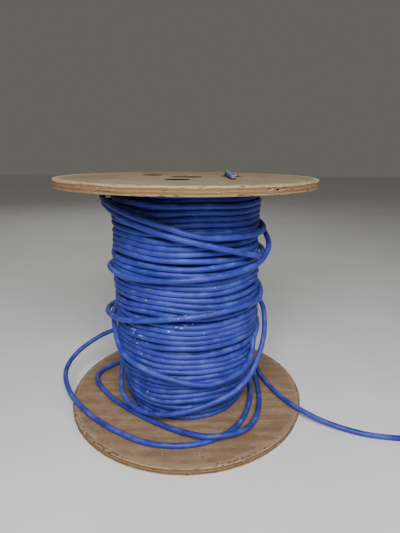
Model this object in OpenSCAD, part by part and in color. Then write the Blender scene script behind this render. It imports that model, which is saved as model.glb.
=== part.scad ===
// Round plywood cable reel standing on its lower flange, part wound with data cable.
// Millimetres. Origin at the centre of the base, +Z up along the reel's axis, the front of the reel towards -Y.

/* [Flanges] */
// Diameter of both plywood flanges
flange_d = 305; // [295:1:330]
// Thickness of the plywood
flange_t = 9; // [8:0.5:12]
// Height over both flanges
reel_h = 292; // [285:1:330]
// Small rounding on the flange's arrises
arris_r = 0.6; // [0.3:0.1:1.2]

/* [Holes] */
// Arbor hole through both flanges
arbor_d = 38; // [30:1:42]
// Start holes, where the inner end of the cable comes out
start_hole_d = 28; // [20:1:28]
// Distance of the start holes from the axis
start_hole_r = 58; // [58:0.5:66]
// Direction of the first start hole
start_hole_a = 20; // [10:1:30]

/* [Core] */
// Outside diameter of the core tube
core_od = 84; // [80:1:84]
// Wall of the core tube
core_wall = 4; // [3:0.5:4.5]
// Depth of the groove that seats the core in each flange
core_seat = 3; // [2:0.5:4]

/* [Fasteners] */
// Thread diameter of the tie bolts
bolt_d = 6; // [5:0.5:6.5]
// Distance of the tie bolts from the axis
bolt_r = 29; // [28:0.5:30]

/* [Cable] */
// Outside diameter of the cable's jacket
cable_d = 6.4; // [5.6:0.1:6.4]
// Largest radius of the wound cable
pack_r = 91; // [86:0.5:91]
// Turns in each column of the stored coil
coil_rows = 2; // [1:1:2]

/* [Hidden] */

wood = [0.68, 0.57, 0.44];
card = [0.60, 0.50, 0.38];
steel = [0.72, 0.73, 0.74];
jacket_blue = [0.22, 0.32, 0.72];
tie_black = [0.08, 0.08, 0.09];
pair_colours = [[0.12, 0.25, 0.75], [0.90, 0.45, 0.10], [0.10, 0.55, 0.25], [0.45, 0.28, 0.15]];
filler_white = [0.88, 0.88, 0.86];

eps = 0.01;
hole_count = 3;
hole_step = 360 / hole_count;
// The tie bolts stand halfway between the start holes.
bolt_a = start_hole_a + hole_step / 2;

inner_top = reel_h - flange_t;
core_r = core_od / 2;
core_fit = 0.15;
seat_gap = 0.1;
pack_fit = 0.2;

// Countersunk head, its socket, and the tee nut's flange, barrel and prongs
head_d = 2.1 * bolt_d;
head_h = 0.55 * bolt_d;
socket_af = 4;
socket_depth = 2;
nut_flange_d = 3 * bolt_d;
nut_flange_t = 1.2;
nut_barrel_d = 1.3 * bolt_d;
nut_barrel_l = 6.5;
prong_count = 4;
prong_r = 0.42 * nut_flange_d;
prong_w = 1.6;
prong_t = 0.8;
prong_l = 4.5;
bolt_hole_fit = 0.1;

cable_r = cable_d / 2;
tube_sides = 10;
tube_steps = 2;

// The free run of the cable. It leaves the wound pack at the back left, makes two slack loops round
// the pack on the lower flange, leaves the flange at the right and runs over the surface to the coil.
free_route = [
    [-80, 46, 40], [-40, 86, 33], [14, 95, 24], [62, 70, 15], [86, 14, 12.6],
    [80, -43, 12.5], [57, -93, 12.5], [14, -120, 12.3], [-38, -120, 12.5], [-84, -96, 12.5],
    [-122, -64, 12.8], [-152, -30, 18], [-168, 8, 28], [-158, 36, 42], [-126, 48, 62],
    [-92, 54, 74], [-52, 82, 77], [0, 104, 66], [54, 92, 44], [90, 50, 21],
    [97, 4, 13.2], [90, -55, 13], [70, -101, 17.6], [32, -118, 19.4], [0, -109, 17],
    [-41, -82, 12.9], [-86, -45, 12.4], [-117, -8, 12.4], [-128, 20, 12.4], [-118, 44, 12.4],
    [-92, 68, 12.4], [-52, 102, 12.4], [0, 120, 12.4], [60, 106, 12.4], [99, 62, 12.4],
    [106, 16, 12.4], [121, -32, 12.6], [142, -66, 12.9], [170, -83, 7], [206, -98, 3.6],
    [246, -107, 3.6], [277, -107.8, 4.2]
];

// The inner end of the cable comes up through a start hole and lies over the upper flange.
inner_route = [
    [49, 28, 286.4], [49, 18, 290.8], [49, 7, 295.7], [49, -6, 296.9],
    [49, -20, 295.8], [49, -38, 295.3], [49.5, -56, 295.3]
];

// The stored coil lies beyond the reel's right side, on the tie's thickness.
tie_t = 1;
tie_w = 12;
coil_pos = [300, -145];
coil_mid_r = 34.2;
coil_band = 13.1;
coil_inner_r = coil_mid_r - coil_band / 2;
coil_z = tie_t + 0.1;
coil_h = cable_d * coil_rows + 0.3;
tie_a = -70;

// The bare outer end leaves the coil's back and lies on the surface just past it.
outer_start = [311.5, -102.3, cable_r + 0.1];
outer_a = 6;
outer_l = 40;

// Four pairs of insulated conductors, the cross-shaped filler and the rip cord show at both cut ends.
bare_l = 4;
end_gap = 0.02;
wire_d = 1;
wire_gap = 0.08;
pair_r = 1.55;
filler_span = 3.9;
filler_t = 0.4;
rip_cord_d = 0.5;
rip_cord_r = 2.3;

// Catmull-Rom points through a route: steps points for each stretch, then the route's last point.
function stretch_point(a, b, c, d, t) =
    0.5 * (2 * b + (c - a) * t + (2 * a - 5 * b + 4 * c - d) * t * t + (3 * b - a - 3 * c + d) * t * t * t);
function before(p, i) = i == 0 ? 2 * p[0] - p[1] : p[i - 1];
function after(p, i) = i + 2 < len(p) ? p[i + 2] : 2 * p[i + 1] - p[i];
function smooth_route(p, steps) = [
    for (i = [0 : len(p) - 2])
        for (k = [0 : steps - 1])
            stretch_point(before(p, i), p[i], p[i + 1], after(p, i), k / steps),
    p[len(p) - 1]
];

function unit(v) = v / norm(v);
function tangent(p, i) = unit(p[min(i + 1, len(p) - 1)] - p[max(i - 1, 0)]);
function ring_points(p, i, r) =
    let (t = tangent(p, i), side = unit(cross(t, [0, 0, 1])), up = cross(side, t))
    [for (k = [0 : tube_sides - 1]) p[i] + r * (cos(360 * k / tube_sides) * side + sin(360 * k / tube_sides) * up)];

// A tube of radius r swept along a route as one closed polyhedron.
module swept_tube(route, r, steps) {
    p = smooth_route(route, steps);
    n = tube_sides;
    last = len(p) - 1;
    points = [for (i = [0 : last]) each ring_points(p, i, r)];
    sides = [
        for (i = [0 : last - 1])
            for (k = [0 : n - 1])
                [i * n + k, i * n + (k + 1) % n, (i + 1) * n + (k + 1) % n, (i + 1) * n + k]
    ];
    start_cap = [[for (k = [n - 1 : -1 : 0]) k]];
    end_cap = [[for (k = [0 : n - 1]) last * n + k]];
    polyhedron(points, concat(start_cap, sides, end_cap), convexity = 10);
}

module at_holes() {
    for (i = [0 : hole_count - 1])
        rotate(start_hole_a + i * hole_step) translate([start_hole_r, 0, 0]) children();
}

module at_bolts() {
    for (i = [0 : hole_count - 1])
        rotate(bolt_a + i * hole_step) translate([bolt_r, 0, 0]) children();
}

// A plywood disc with its rounded arrises, arbor hole and start holes, standing on z = 0.
module flange_blank() {
    difference() {
        rotate_extrude($fn = 180)
            difference() {
                square([flange_d / 2, flange_t]);
                for (z = [0, flange_t])
                    translate([flange_d / 2, z]) rotate(45) square(arris_r * sqrt(2), center = true);
            }
        translate([0, 0, -1]) cylinder(d = arbor_d, h = flange_t + 2, $fn = 96);
        at_holes() translate([0, 0, -1]) cylinder(d = start_hole_d, h = flange_t + 2, $fn = 72);
    }
}

// The groove that takes one end of the core tube, from z = 0 up.
module core_groove() {
    difference() {
        cylinder(r = core_r + core_fit, h = core_seat + 1, $fn = 120);
        translate([0, 0, -1]) cylinder(r = core_r - core_wall - core_fit, h = core_seat + 3, $fn = 120);
    }
}

module bottom_flange() {
    color(wood)
        difference() {
            flange_blank();
            translate([0, 0, flange_t - core_seat]) core_groove();
            at_bolts() {
                translate([0, 0, -1]) cylinder(d = nut_barrel_d + 2 * bolt_hole_fit, h = flange_t + 2, $fn = 48);
                translate([0, 0, -1]) cylinder(d = nut_flange_d + 0.4, h = nut_flange_t + 1.2, $fn = 48);
                nut_prongs(bolt_hole_fit);
            }
        }
}

module top_flange() {
    color(wood)
        translate([0, 0, inner_top])
            difference() {
                flange_blank();
                translate([0, 0, -1]) core_groove();
                at_bolts() {
                    translate([0, 0, -1]) cylinder(d = bolt_d + 2 * bolt_hole_fit, h = flange_t + 2, $fn = 48);
                    translate([0, 0, flange_t - head_h - bolt_hole_fit]) countersink(2 * bolt_hole_fit);
                }
            }
}

// A cone that opens upwards, larger than the bolt's head by the gap.
module countersink(gap) {
    rotate_extrude($fn = 48)
        polygon([
            [0, 0], [bolt_d / 2 + gap, 0], [head_d / 2 + gap, head_h],
            [head_d / 2 + gap, head_h + 1], [0, head_h + 1]
        ]);
}

module core_tube() {
    length = inner_top - flange_t + 2 * (core_seat - seat_gap);
    color(card)
        translate([0, 0, flange_t - core_seat + seat_gap])
            difference() {
                cylinder(r = core_r, h = length, $fn = 120);
                translate([0, 0, -1]) cylinder(r = core_r - core_wall, h = length + 2, $fn = 120);
            }
}

// One countersunk bolt with a hexagon socket, its head flush with the upper flange.
module tie_bolt() {
    tip_z = nut_flange_t + 0.8;
    difference() {
        union() {
            translate([0, 0, tip_z]) cylinder(d = bolt_d, h = reel_h - tip_z - head_h, $fn = 48);
            translate([0, 0, reel_h - head_h])
                rotate_extrude($fn = 48)
                    polygon([[0, 0], [bolt_d / 2, 0], [head_d / 2, head_h - 0.3], [head_d / 2, head_h], [0, head_h]]);
        }
        translate([0, 0, reel_h - socket_depth]) cylinder(d = socket_af / cos(30), h = socket_depth + 1, $fn = 6);
    }
}

module tie_bolts() {
    color(steel) at_bolts() tie_bolt();
}

// The tee nut's prongs, which bite into the plywood from below, with a gap all round.
module nut_prongs(gap) {
    for (i = [0 : prong_count - 1])
        rotate(45 + i * 360 / prong_count)
            translate([prong_r - prong_t / 2 - gap, -prong_w / 2 - gap, 0])
                cube([prong_t + 2 * gap, prong_w + 2 * gap, nut_flange_t + prong_l + gap]);
}

module tee_nut() {
    difference() {
        union() {
            translate([0, 0, 0.1]) cylinder(d = nut_flange_d, h = nut_flange_t - 0.1, $fn = 48);
            cylinder(d = nut_barrel_d, h = nut_barrel_l, $fn = 48);
            translate([0, 0, eps]) intersection() {
                nut_prongs(0);
                cylinder(d = nut_flange_d, h = flange_t, $fn = 48);
            }
        }
        translate([0, 0, -1]) cylinder(d = bolt_d + 2 * eps, h = nut_barrel_l + 2, $fn = 48);
    }
}

module tee_nuts() {
    color(steel) translate([0, 0, 0.1]) at_bolts() tee_nut();
}

// The wound turns, filling the space between the flanges and narrower where turns have been pulled off.
module cable_winding() {
    low = flange_t + pack_fit;
    high = inner_top - pack_fit;
    color(jacket_blue)
        rotate_extrude($fn = 144)
            polygon([
                [core_r + 0.1, low], [pack_r - 11, low], [pack_r - 10.5, low + 12],
                [pack_r - 4.5, low + 38], [pack_r, low + 72], [pack_r, high - 90],
                [pack_r - 3, high - 60], [pack_r - 2, high], [core_r + 0.1, high]
            ]);
}

module cable_inner_end() {
    color(jacket_blue) swept_tube(inner_route, cable_r, tube_steps);
}

// One of the four twisted pairs: two insulated conductors, standing out of a cut end along +Z.
module wire_pair(i) {
    color(pair_colours[i])
        rotate(45 + 90 * i) translate([pair_r, 0, 0])
            for (s = [-1, 1])
                translate([0, s * (wire_d + wire_gap) / 2, 0]) cylinder(d = wire_d, h = bare_l, $fn = 24);
}

// The cross that keeps the four pairs apart, standing out of a cut end along +Z.
module cross_filler() {
    color(filler_white)
        linear_extrude(bare_l - 0.5)
            for (a = [0, 90])
                rotate(a) square([filler_span, filler_t], center = true);
}

// The thread that slits the jacket, standing out of a cut end along +Z.
module rip_cord() {
    color(filler_white) rotate(12) translate([rip_cord_r, 0, 0]) cylinder(d = rip_cord_d, h = bare_l + 2, $fn = 24);
}

module at_inner_end() {
    tip = inner_route[len(inner_route) - 1];
    translate(tip) rotate([90, 0, 0]) translate([0, 0, end_gap]) children();
}

module inner_blue_pair() {
    at_inner_end() wire_pair(0);
}

module inner_orange_pair() {
    at_inner_end() wire_pair(1);
}

module inner_green_pair() {
    at_inner_end() wire_pair(2);
}

module inner_brown_pair() {
    at_inner_end() wire_pair(3);
}

module inner_filler() {
    at_inner_end() cross_filler();
}

module inner_rip_cord() {
    at_inner_end() rip_cord();
}

module cable_free_run() {
    color(jacket_blue) swept_tube(free_route, cable_r, tube_steps);
}

// The stored length beyond the loops, as one ring of the coil's outer shape.
module cable_coil() {
    color(jacket_blue)
        translate([coil_pos[0], coil_pos[1], coil_z])
            rotate_extrude($fn = 96)
                translate([coil_inner_r, 0]) square([coil_band, coil_h]);
}

// A hook-and-loop band round the coil's section.
module coil_tie() {
    gap = 0.05;
    inner = [coil_band + 2 * gap, tie_w + 2, coil_h + 2 * gap];
    outer = [inner[0] + 2 * tie_t, tie_w, inner[2] + 2 * tie_t];
    color(tie_black)
        translate([coil_pos[0], coil_pos[1], 0])
            rotate(tie_a)
                translate([coil_mid_r, 0, coil_z + coil_h / 2])
                    difference() {
                        cube(outer, center = true);
                        cube(inner, center = true);
                    }
}

module at_outer_end() {
    translate(outer_start) rotate([0, 90, outer_a]) children();
}

module cable_outer_end() {
    color(jacket_blue)
        at_outer_end()
            cylinder(r = cable_r, h = outer_l, $fn = 48);
}

module past_outer_end() {
    at_outer_end() translate([0, 0, outer_l + end_gap]) children();
}

module outer_blue_pair() {
    past_outer_end() wire_pair(0);
}

module outer_orange_pair() {
    past_outer_end() wire_pair(1);
}

module outer_green_pair() {
    past_outer_end() wire_pair(2);
}

module outer_brown_pair() {
    past_outer_end() wire_pair(3);
}

module outer_filler() {
    past_outer_end() cross_filler();
}

module outer_rip_cord() {
    past_outer_end() rip_cord();
}

bottom_flange();
top_flange();
core_tube();
tie_bolts();
tee_nuts();
cable_winding();
cable_inner_end();
inner_blue_pair();
inner_orange_pair();
inner_green_pair();
inner_brown_pair();
inner_filler();
inner_rip_cord();
cable_free_run();
cable_coil();
coil_tie();
cable_outer_end();
outer_blue_pair();
outer_orange_pair();
outer_green_pair();
outer_brown_pair();
outer_filler();
outer_rip_cord();
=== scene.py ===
"""Looks of a plywood reel of blue data cable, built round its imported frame. Metres, +Z up, front to -Y."""
import math
import bpy
import numpy as np
from mathutils import Matrix, Vector, kdtree, noise


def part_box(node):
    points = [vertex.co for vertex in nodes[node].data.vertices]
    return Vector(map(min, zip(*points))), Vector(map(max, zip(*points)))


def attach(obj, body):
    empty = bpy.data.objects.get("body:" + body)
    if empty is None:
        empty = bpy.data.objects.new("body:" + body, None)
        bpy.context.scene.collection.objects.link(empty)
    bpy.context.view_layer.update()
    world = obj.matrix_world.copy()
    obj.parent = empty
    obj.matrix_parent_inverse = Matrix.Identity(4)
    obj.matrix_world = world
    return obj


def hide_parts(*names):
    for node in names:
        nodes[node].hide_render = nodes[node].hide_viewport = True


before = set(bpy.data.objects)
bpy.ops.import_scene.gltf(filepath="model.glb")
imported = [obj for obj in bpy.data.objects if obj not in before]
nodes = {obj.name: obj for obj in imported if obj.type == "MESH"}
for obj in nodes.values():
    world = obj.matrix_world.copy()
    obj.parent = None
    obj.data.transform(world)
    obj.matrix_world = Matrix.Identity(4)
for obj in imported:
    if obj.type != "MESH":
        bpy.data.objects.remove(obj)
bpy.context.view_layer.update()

MM = 0.001
TAU = 2 * math.pi

# ---- sizes, from the frame
flange_low, flange_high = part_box("top_flange")
flange_r = flange_high.x
flange_t = flange_high.z - flange_low.z
inner_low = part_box("bottom_flange")[1].z
inner_high = flange_low.z
core_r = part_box("core_tube")[1].x
coil_low, coil_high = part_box("cable_coil")
coil_centre = (coil_low + coil_high) / 2
coil_band = coil_high.z - coil_low.z
coil_mid_r = (coil_high.x - coil_low.x) / 2 - coil_band / 2

cable_d = 6.4 * MM
cable_r = cable_d / 2
arbor_r = 19 * MM
hole_r = 14 * MM
hole_circle = 58 * MM
hole_angles = (20, 140, 260)
bolt_circle = 29 * MM
bolt_angles = (80, 200, 320)
PLY_COUNT = 5


# ---- camera
def make_camera():
    data = bpy.data.cameras.new("camera")
    data.sensor_width = 36
    data.lens = 26.44
    camera = bpy.data.objects.new("camera", data)
    bpy.context.scene.collection.objects.link(camera)
    turn = Matrix.Rotation(math.radians(-1.96), 4, "Z")
    tilt = Matrix.Rotation(math.radians(90 - 15.78), 4, "X")
    roll = Matrix.Rotation(math.radians(0.42), 4, "Z")
    camera.matrix_world = Matrix.Translation((0, -0.4805, 0.3161)) @ turn @ tilt @ roll
    bpy.context.scene.camera = camera


# ---- lines and tubes
def smooth(points, steps, before=None, after=None):
    """Catmull-Rom points through a route, steps of them for each stretch."""
    p = np.array(points, float)
    first = 2 * p[0] - p[1] if before is None else np.array(before, float)
    last = 2 * p[-1] - p[-2] if after is None else np.array(after, float)
    p = np.vstack([first, p, last])
    t = np.arange(steps)[:, None] / steps
    out = []
    for a, b, c, d in zip(p, p[1:], p[2:], p[3:]):
        bend = (2 * a - 5 * b + 4 * c - d) * t**2 + (3 * b - a - 3 * c + d) * t**3
        out.append(0.5 * (2 * b + (c - a) * t + bend))
    out.append(p[-2:-1])
    return np.vstack(out)


def run_along(line):
    """The distance from the start of a line to each of its points."""
    return np.r_[0, np.cumsum(np.linalg.norm(np.diff(line, axis=0), axis=1))]


def even(line, step):
    """The same line with points a fixed distance apart."""
    run = run_along(line)
    at = np.linspace(0, run[-1], max(2, round(run[-1] / step)) + 1)
    return np.column_stack([np.interp(at, run, line[:, i]) for i in range(3)])


def on_circle(radius, degrees):
    return radius * math.cos(math.radians(degrees)), radius * math.sin(math.radians(degrees))


def from_axis(angle, radius, height):
    """Points of the reel from their angle in radians, distance from the axis and height."""
    return np.column_stack([radius * np.cos(angle), radius * np.sin(angle), height])


def clockwise(points):
    """(degrees, radius, height) rows in mm, as radians and metres, each clockwise from the last."""
    rows = [list(points[0])]
    for angle, radius, height in points[1:]:
        while angle > rows[-1][0]:
            angle -= 360
        rows.append([angle, radius, height])
    rows = np.array(rows, float)
    return rows * [math.pi / 180, MM, MM]


def frames_along(line):
    """Unit tangents and two unit normals at each point, with no twist from one point to the next."""
    tangent = np.gradient(line, axis=0)
    tangent /= np.linalg.norm(tangent, axis=1)[:, None]
    side = np.cross(tangent[0], (0.31, 0.17, 0.93))
    sides = []
    for t in tangent:
        side = side - t * (side @ t)
        side = side / np.linalg.norm(side)
        sides.append(side)
    sides = np.array(sides)
    return tangent, sides, np.cross(tangent, sides)


def shade(mesh, sharp):
    """Smooth shading, with edges sharper than the given angle kept sharp."""
    mesh.polygons.foreach_set("use_smooth", [True] * len(mesh.polygons))
    if sharp is not None:
        mesh.set_sharp_from_angle(angle=math.radians(sharp))


def link(mesh_name, vertices, faces, material=None, sharp=None):
    mesh = bpy.data.meshes.new(mesh_name)
    mesh.from_pydata(np.asarray(vertices).tolist(), [], faces)
    shade(mesh, sharp)
    obj = bpy.data.objects.new(mesh_name, mesh)
    bpy.context.scene.collection.objects.link(obj)
    if material is not None:
        mesh.materials.append(material)
    return obj


def ring_faces(rings, sides):
    """Quads between rings of the same number of points, as a numpy array."""
    i = np.arange(rings - 1)[:, None] * sides
    k = np.arange(sides)[None, :]
    n = (np.arange(sides) + 1) % sides
    quads = np.stack([i + k, i + n, i + sides + n, i + sides + k], axis=-1)
    return quads.reshape(-1, 4)


def tube_faces(rings, sides):
    """The faces of a closed solid made of rings, with a flat face at each end."""
    first = list(range(sides))
    last = list(range((rings - 1) * sides, rings * sides))
    return ring_faces(rings, sides).tolist() + [first[::-1], last]


def spokes(line, sides):
    """For a tube round a line: unit tangents, the angle of each side, and the unit vectors out to them."""
    tangent, side, up = frames_along(line)
    turn = TAU * np.arange(sides) / sides
    spoke = np.cos(turn)[None, :, None] * side[:, None, :] + np.sin(turn)[None, :, None] * up[:, None, :]
    return tangent, turn, spoke


JACKET_WALL = 0.65 * MM
CUT_DEPTH = 2.5 * MM
RIPPLE = 0.04 * MM
RIPPLE_PITCH = 17 * MM


def cable(name, line, sides, material, cut_ends=(False, False), ripple=False):
    """A round cable along a line. A cut end shows the jacket's wall round a short hollow."""
    line = np.asarray(line, float)
    tangent, turn, spoke = spokes(line, sides)
    radius = np.full((len(line), sides), cable_r)
    if ripple:
        radius += RIPPLE * np.cos(2 * turn[None, :] - TAU * run_along(line)[:, None] / RIPPLE_PITCH)
    rings = list(line[:, None, :] + radius[:, :, None] * spoke)
    inner_r = cable_r - JACKET_WALL
    for end, cut in ((0, cut_ends[0]), (-1, cut_ends[1])):
        if not cut:
            continue
        inward = tangent[end] * (1 if end == 0 else -1)
        lip = line[end] + inner_r * spoke[end]
        added = [lip, lip + inward * CUT_DEPTH]
        rings = added[::-1] + rings if end == 0 else rings + added
    return link(name, np.array(rings).reshape(-1, 3), tube_faces(len(rings), sides), material, sharp=50)


# ---- node materials
def tone(red, green, blue):
    """A linear colour from 0 to 255 display values."""
    def linear(v):
        v /= 255
        return v / 12.92 if v <= 0.04045 else ((v + 0.055) / 1.055) ** 2.4
    return (linear(red), linear(green), linear(blue), 1)


MIX_COLOUR_INPUTS = (6, 7)
MIX_COLOUR_OUTPUT = 2


class Paint:
    """A node material under construction. Its coordinates are the row frame's, in metres."""

    def __init__(self, name, roughness=0.5, metallic=0.0, specular=0.5):
        self.material = bpy.data.materials.new(name)
        self.material.use_nodes = True
        self.tree = self.material.node_tree
        self.shader = self.tree.nodes["Principled BSDF"]
        self.fill(self.shader, {"Roughness": roughness, "Metallic": metallic, "Specular IOR Level": specular})
        self.place = self.node("TexCoord", {}).outputs["Object"]
        self.normal_out = self.node("NewGeometry", {}).outputs["Normal"]

    def fill(self, node, inputs):
        """Links a socket to each input, or sets it to a value. None leaves it as it is."""
        for name, value in inputs.items():
            if isinstance(value, bpy.types.NodeSocket):
                self.tree.links.new(value, node.inputs[name])
            elif value is not None:
                node.inputs[name].default_value = value

    def node(self, kind, inputs):
        node = self.tree.nodes.new("ShaderNode" + kind)
        self.fill(node, inputs)
        return node

    def math(self, operation, a, b=0.0, clamp=False):
        node = self.node("Math", {0: a, 1: b})
        node.operation = operation
        node.use_clamp = clamp
        return node.outputs[0]

    def plus(self, a, b, clamp=False):
        return self.math("ADD", a, b, clamp)

    def minus(self, a, b):
        return self.math("SUBTRACT", a, b)

    def times(self, a, b):
        return self.math("MULTIPLY", a, b)

    def parts(self, vector):
        return self.node("SeparateXYZ", {0: vector}).outputs

    def vector(self, x, y, z):
        return self.node("CombineXYZ", {0: x, 1: y, 2: z}).outputs[0]

    def stretch(self, vector, scale, turn=(0, 0, 0)):
        rotation = [math.radians(a) for a in turn]
        return self.node("Mapping", {"Vector": vector, "Scale": scale, "Rotation": rotation}).outputs[0]

    def noise(self, vector, scale, detail=3.0, rough=0.5, swirl=0.0):
        inputs = {"Vector": vector, "Scale": scale, "Detail": detail, "Roughness": rough, "Distortion": swirl}
        return self.node("TexNoise", inputs).outputs["Fac"]

    def cells(self, vector, scale):
        return self.node("TexVoronoi", {"Vector": vector, "Scale": scale}).outputs["Distance"]

    def waves(self, vector, scale, swirl, detail=2.0):
        node = self.node("TexWave", {"Vector": vector, "Scale": scale, "Distortion": swirl, "Detail": detail})
        node.bands_direction = "Y"
        return node.outputs["Fac"]

    def between(self, value, low, high, to_low=0.0, to_high=1.0):
        inputs = {"Value": value, "From Min": low, "From Max": high, "To Min": to_low, "To Max": to_high}
        node = self.node("MapRange", inputs)
        node.interpolation_type = "SMOOTHSTEP"
        return node.outputs["Result"]

    def ramp(self, factor, stops, mode="LINEAR"):
        node = self.node("ValToRGB", {"Fac": factor})
        node.color_ramp.interpolation = mode
        elements = node.color_ramp.elements
        while len(elements) < len(stops):
            elements.new(0.5)
        for element, (position, colour) in zip(elements, stops):
            element.position = position
            element.color = colour
        return node.outputs["Color"]

    def mix(self, factor, a, b, blend="MIX"):
        node = self.node("Mix", {})
        node.data_type = "RGBA"
        node.blend_type = blend
        self.fill(node, {"Factor": factor, MIX_COLOUR_INPUTS[0]: a, MIX_COLOUR_INPUTS[1]: b})
        return node.outputs[MIX_COLOUR_OUTPUT]

    def bump(self, height, distance, strength=1.0, under=None):
        inputs = {"Strength": strength, "Distance": distance, "Height": height, "Normal": under}
        return self.node("Bump", inputs).outputs["Normal"]

    def finish(self, colour, roughness=None, normal=None):
        self.fill(self.shader, {"Base Color": colour, "Roughness": roughness, "Normal": normal})
        return self.material


def jacket_material():
    """Satin blue PVC: faint clouds, scuffs, plaster dust on what faces up, and a faded end over the reel."""
    p = Paint("blue_jacket", specular=0.36)
    up = p.parts(p.normal_out)[2]
    height = p.parts(p.place)[2]
    cloud = p.noise(p.place, 38, detail=4)
    fine = p.noise(p.place, 900, detail=3)
    blue = p.ramp(cloud, [(0.3, tone(36, 46, 132)), (0.5, tone(44, 56, 152)), (0.72, tone(56, 71, 171))])
    faded = p.between(height, 285 * MM, 292 * MM)
    blue = p.mix(p.times(faded, 0.5), blue, tone(88, 116, 138))
    scuff = p.between(p.noise(p.stretch(p.place, (40, 40, 1000)), 5, detail=6, rough=0.7), 0.58, 0.76)
    blue = p.mix(p.times(scuff, 0.4), blue, tone(126, 148, 214))
    film = p.between(p.noise(p.place, 75, detail=6, rough=0.65), 0.42, 0.75)
    film = p.times(p.times(film, p.between(up, 0.0, 0.9)), 0.34)
    blue = p.mix(film, blue, tone(140, 154, 186))

    # Specks of plaster lie in patches, mostly on the middle of the pack.
    speck_size = p.between(p.noise(p.place, 31, detail=3), 0.46, 0.7, 0.03, 0.3)
    speck = p.math("LESS_THAN", p.cells(p.stretch(p.place, (0.5, 0.5, 1.4)), 360), speck_size)
    above_foot = p.between(height, 60 * MM, 105 * MM)
    below_top = p.between(height, 170 * MM, 240 * MM, 1, 0)
    threshold = p.minus(0.69, p.times(p.times(above_foot, below_top), 0.2))
    patch = p.minus(p.noise(p.place, 24, detail=4, rough=0.6), threshold)
    speck = p.times(speck, p.between(patch, 0.0, 0.05))
    speck = p.times(speck, p.between(up, -0.2, 0.3))
    colour = p.mix(p.times(speck, 0.7), blue, tone(214, 224, 236))

    roughness = p.plus(p.between(cloud, 0.3, 0.7, 0.42, 0.52), p.times(scuff, 0.15))
    roughness = p.plus(roughness, p.times(p.plus(film, speck), 0.4), clamp=True)
    ripple = p.bump(p.noise(p.place, 210, detail=1), 0.25 * MM, 0.35)
    return p.finish(colour, roughness, p.bump(fine, 0.04 * MM, 0.5, under=ripple))


def plywood_face(p, shifted, arc, across, seed, tones):
    """The colour, grain and height of a face. Its tones are dark, middle and light grain, stain, border."""
    figure = p.waves(p.stretch(shifted, (0.3, 1, 1)), 17, 9, detail=4)
    streaks = p.noise(p.stretch(shifted, (7, 210, 20)), 3.2, detail=7, rough=0.75)
    mottle = p.noise(p.stretch(shifted, (1, 1.8, 1)), 55, detail=7, rough=0.76, swirl=0.3)
    grain = p.plus(p.plus(p.times(figure, 0.08), p.times(streaks, 0.37)), p.times(mottle, 0.55))
    face = p.ramp(grain, [(0.34, tones[0]), (0.5, tones[1]), (0.66, tones[2])])
    pores = p.between(p.noise(p.stretch(shifted, (50, 1300, 100)), 1.6, detail=3, rough=0.6), 0.6, 0.72)
    face = p.mix(p.times(pores, 0.3), face, tone(84, 62, 42))
    stain = p.between(p.noise(shifted, 14, detail=7, rough=0.66), 0.46, 0.64)
    face = p.mix(p.times(stain, 0.46), face, tones[3])
    scratch = p.between(p.noise(p.stretch(shifted, (240, 14, 60), turn=(0, 0, 24)), 2, detail=2), 0.7, 0.76)
    face = p.mix(p.times(scratch, 0.3), face, tone(206, 186, 158))
    ragged = p.times(p.minus(p.noise(shifted, 36, detail=5, rough=0.65), 0.5), 16 * MM)
    border = p.between(p.plus(across, ragged), flange_r - 8 * MM, flange_r - 4 * MM)
    face = p.mix(p.times(border, 0.55), face, tones[4])

    # Dark flecks, more of them towards the rim, and most where stretches of the arris have splintered.
    near_rim = p.between(across, 105 * MM, flange_r)
    splintered = p.between(p.noise(p.vector(arc, seed, 0.5), 13, detail=3), 0.42, 0.56)
    at_arris = p.times(p.between(across, flange_r - 6 * MM, flange_r - 1.5 * MM), splintered)
    threshold = p.minus(p.minus(0.7, p.times(near_rim, 0.05)), p.times(at_arris, 0.15))
    fleck = p.between(p.minus(p.noise(shifted, 230, detail=4, rough=0.7), threshold), 0.0, 0.05)
    face = p.mix(p.times(fleck, 0.7), face, tone(58, 38, 26))
    return face, grain, p.minus(p.times(grain, 0.7), p.plus(pores, fleck))


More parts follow.
